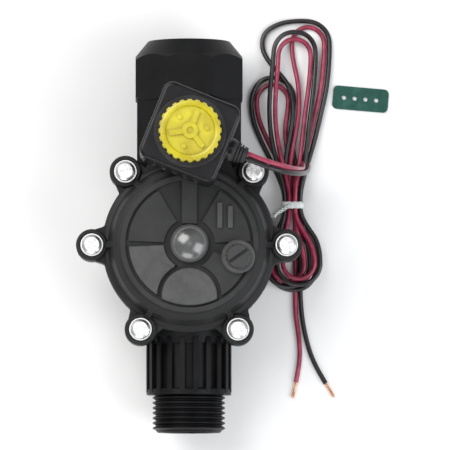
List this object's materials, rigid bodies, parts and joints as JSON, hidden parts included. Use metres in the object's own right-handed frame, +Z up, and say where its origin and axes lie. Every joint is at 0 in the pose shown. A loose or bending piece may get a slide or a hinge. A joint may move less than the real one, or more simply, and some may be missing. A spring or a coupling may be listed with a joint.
{
  "type": "solenoid valve",
  "caption": "Pilot-operated solenoid valve for water lines: ribbed male inlet, female outlet, screwed-down bonnet over a diaphragm, and a square coil whose leads are tied in a hank.",
  "frame": {"origin": "where the bonnet's axis meets the surface that the valve stands on", "axes": "+Y along the flow from inlet to outlet, +Z up along the bonnet and solenoid axes, +X to the right of the flow"},
  "size_m": [0.1442, 0.1929, 0.1074],
  "materials": {
    "body_nylon": "moulded glass-filled nylon, fine satin grain",
    "bonnet_nylon": "moulded glass-filled nylon, satin, slightly greyer",
    "stainless": "passivated stainless steel",
    "brass": "turned brass",
    "diaphragm_rubber": "reinforced rubber, matte",
    "acetal": "natural acetal",
    "spring_steel": "drawn stainless spring wire",
    "ferritic_steel": "turned ferritic stainless steel",
    "tube_nylon": "moulded nylon",
    "coil_plastic": "moulded plastic, satin",
    "yoke_steel": "zinc-plated steel strip",
    "bobbin_plastic": "moulded natural nylon",
    "copper_wire": "enamelled copper wire",
    "magnet_ferrite": "sintered ferrite",
    "grommet_rubber": "black rubber",
    "seal_rubber": "black rubber",
    "cap_yellow": "moulded yellow plastic, semi-gloss",
    "oring_rubber": "black nitrile rubber",
    "lead_red": "red PVC insulation",
    "lead_black": "black PVC insulation",
    "hank_pvc": "red and black PVC insulation",
    "tie_grey": "pale grey plastic-covered tie",
    "tag_green": "green polypropylene strip",
    "tinned_copper": "bare stranded copper"
  },
  "bodies": {
    "root": {"valve_body": "body_nylon", "brass_inserts": "brass", "bonnet": "bonnet_nylon", "bonnet_screws": "stainless", "screw_washers": "stainless", "diaphragm": "diaphragm_rubber", "main_spring": "spring_steel", "guide_tube": "tube_nylon", "fixed_core": "ferritic_steel", "solenoid_oring": "oring_rubber", "pilot_port_oring": "oring_rubber", "plunger_spring": "spring_steel", "red_lead": "lead_red", "black_lead": "lead_black", "red_lead_tail": "lead_red", "black_lead_tail": "lead_black", "stripped_ends": "tinned_copper", "lead_hank": "hank_pvc", "hank_tie": "tie_grey", "station_tag": "tag_green"},
    "diaphragm_stack": {"diaphragm_plate": "acetal", "seat_guide": "acetal", "clamp_nut": "stainless", "metering_pin": "stainless"},
    "plunger": {"plunger": "ferritic_steel", "plunger_seal": "oring_rubber"},
    "coil": {"coil_housing": "coil_plastic", "coil_yoke": "yoke_steel", "coil_bobbin": "bobbin_plastic", "coil_winding": "copper_wire", "latch_magnet": "magnet_ferrite", "lead_grommet": "grommet_rubber"},
    "cap_washer": {"cap_seal": "seal_rubber"},
    "cap": {"retaining_cap": "cap_yellow"},
    "bleed_washer": {"bleed_oring": "oring_rubber"},
    "bleed": {"bleed_screw": "body_nylon"}
  },
  "joints": [
    {"name": "diaphragm_lift", "type": "slide", "parent": "root", "child": "diaphragm_stack", "axis": [0, 0, 1], "range_m": [0, 0.007], "stiffness_N_per_m": 600, "springref_m": -0.02, "deforming": ["main_spring", "diaphragm"]},
    {"name": "plunger_lift", "type": "slide", "parent": "root", "child": "plunger", "axis": [0, 0, 1], "range_m": [0, 0.0016], "stiffness_N_per_m": 100, "springref_m": -0.01, "deforming": ["plunger_spring"]},
    {"name": "coil_swivel", "type": "hinge", "parent": "root", "child": "coil", "pos_m": [0, 0.048, 0.082], "axis": [0, 0, 1], "range_deg": [-45, 45]},
    {"name": "cap_rise", "type": "slide", "parent": "root", "child": "cap_washer", "axis": [0, 0, 1], "range_m": [0, 0.003]},
    {"name": "cap_turn", "type": "hinge", "parent": "cap_washer", "child": "cap", "pos_m": [0, 0.048, 0.103], "axis": [0, 0, 1], "range_deg": [0, 1080]},
    {"name": "bleed_rise", "type": "slide", "parent": "root", "child": "bleed_washer", "axis": [0, 0, 1], "range_m": [0, 0.0025]},
    {"name": "bleed_turn", "type": "hinge", "parent": "bleed_washer", "child": "bleed", "pos_m": [0.022, -0.006, 0.068], "axis": [0, 0, 1], "range_deg": [0, 720]}
  ],
  "couplings": [
    {"joint": "cap_turn", "follows": "cap_rise", "rad_per_m": 6282.6},
    {"joint": "bleed_turn", "follows": "bleed_rise", "rad_per_m": 5026}
  ]
}
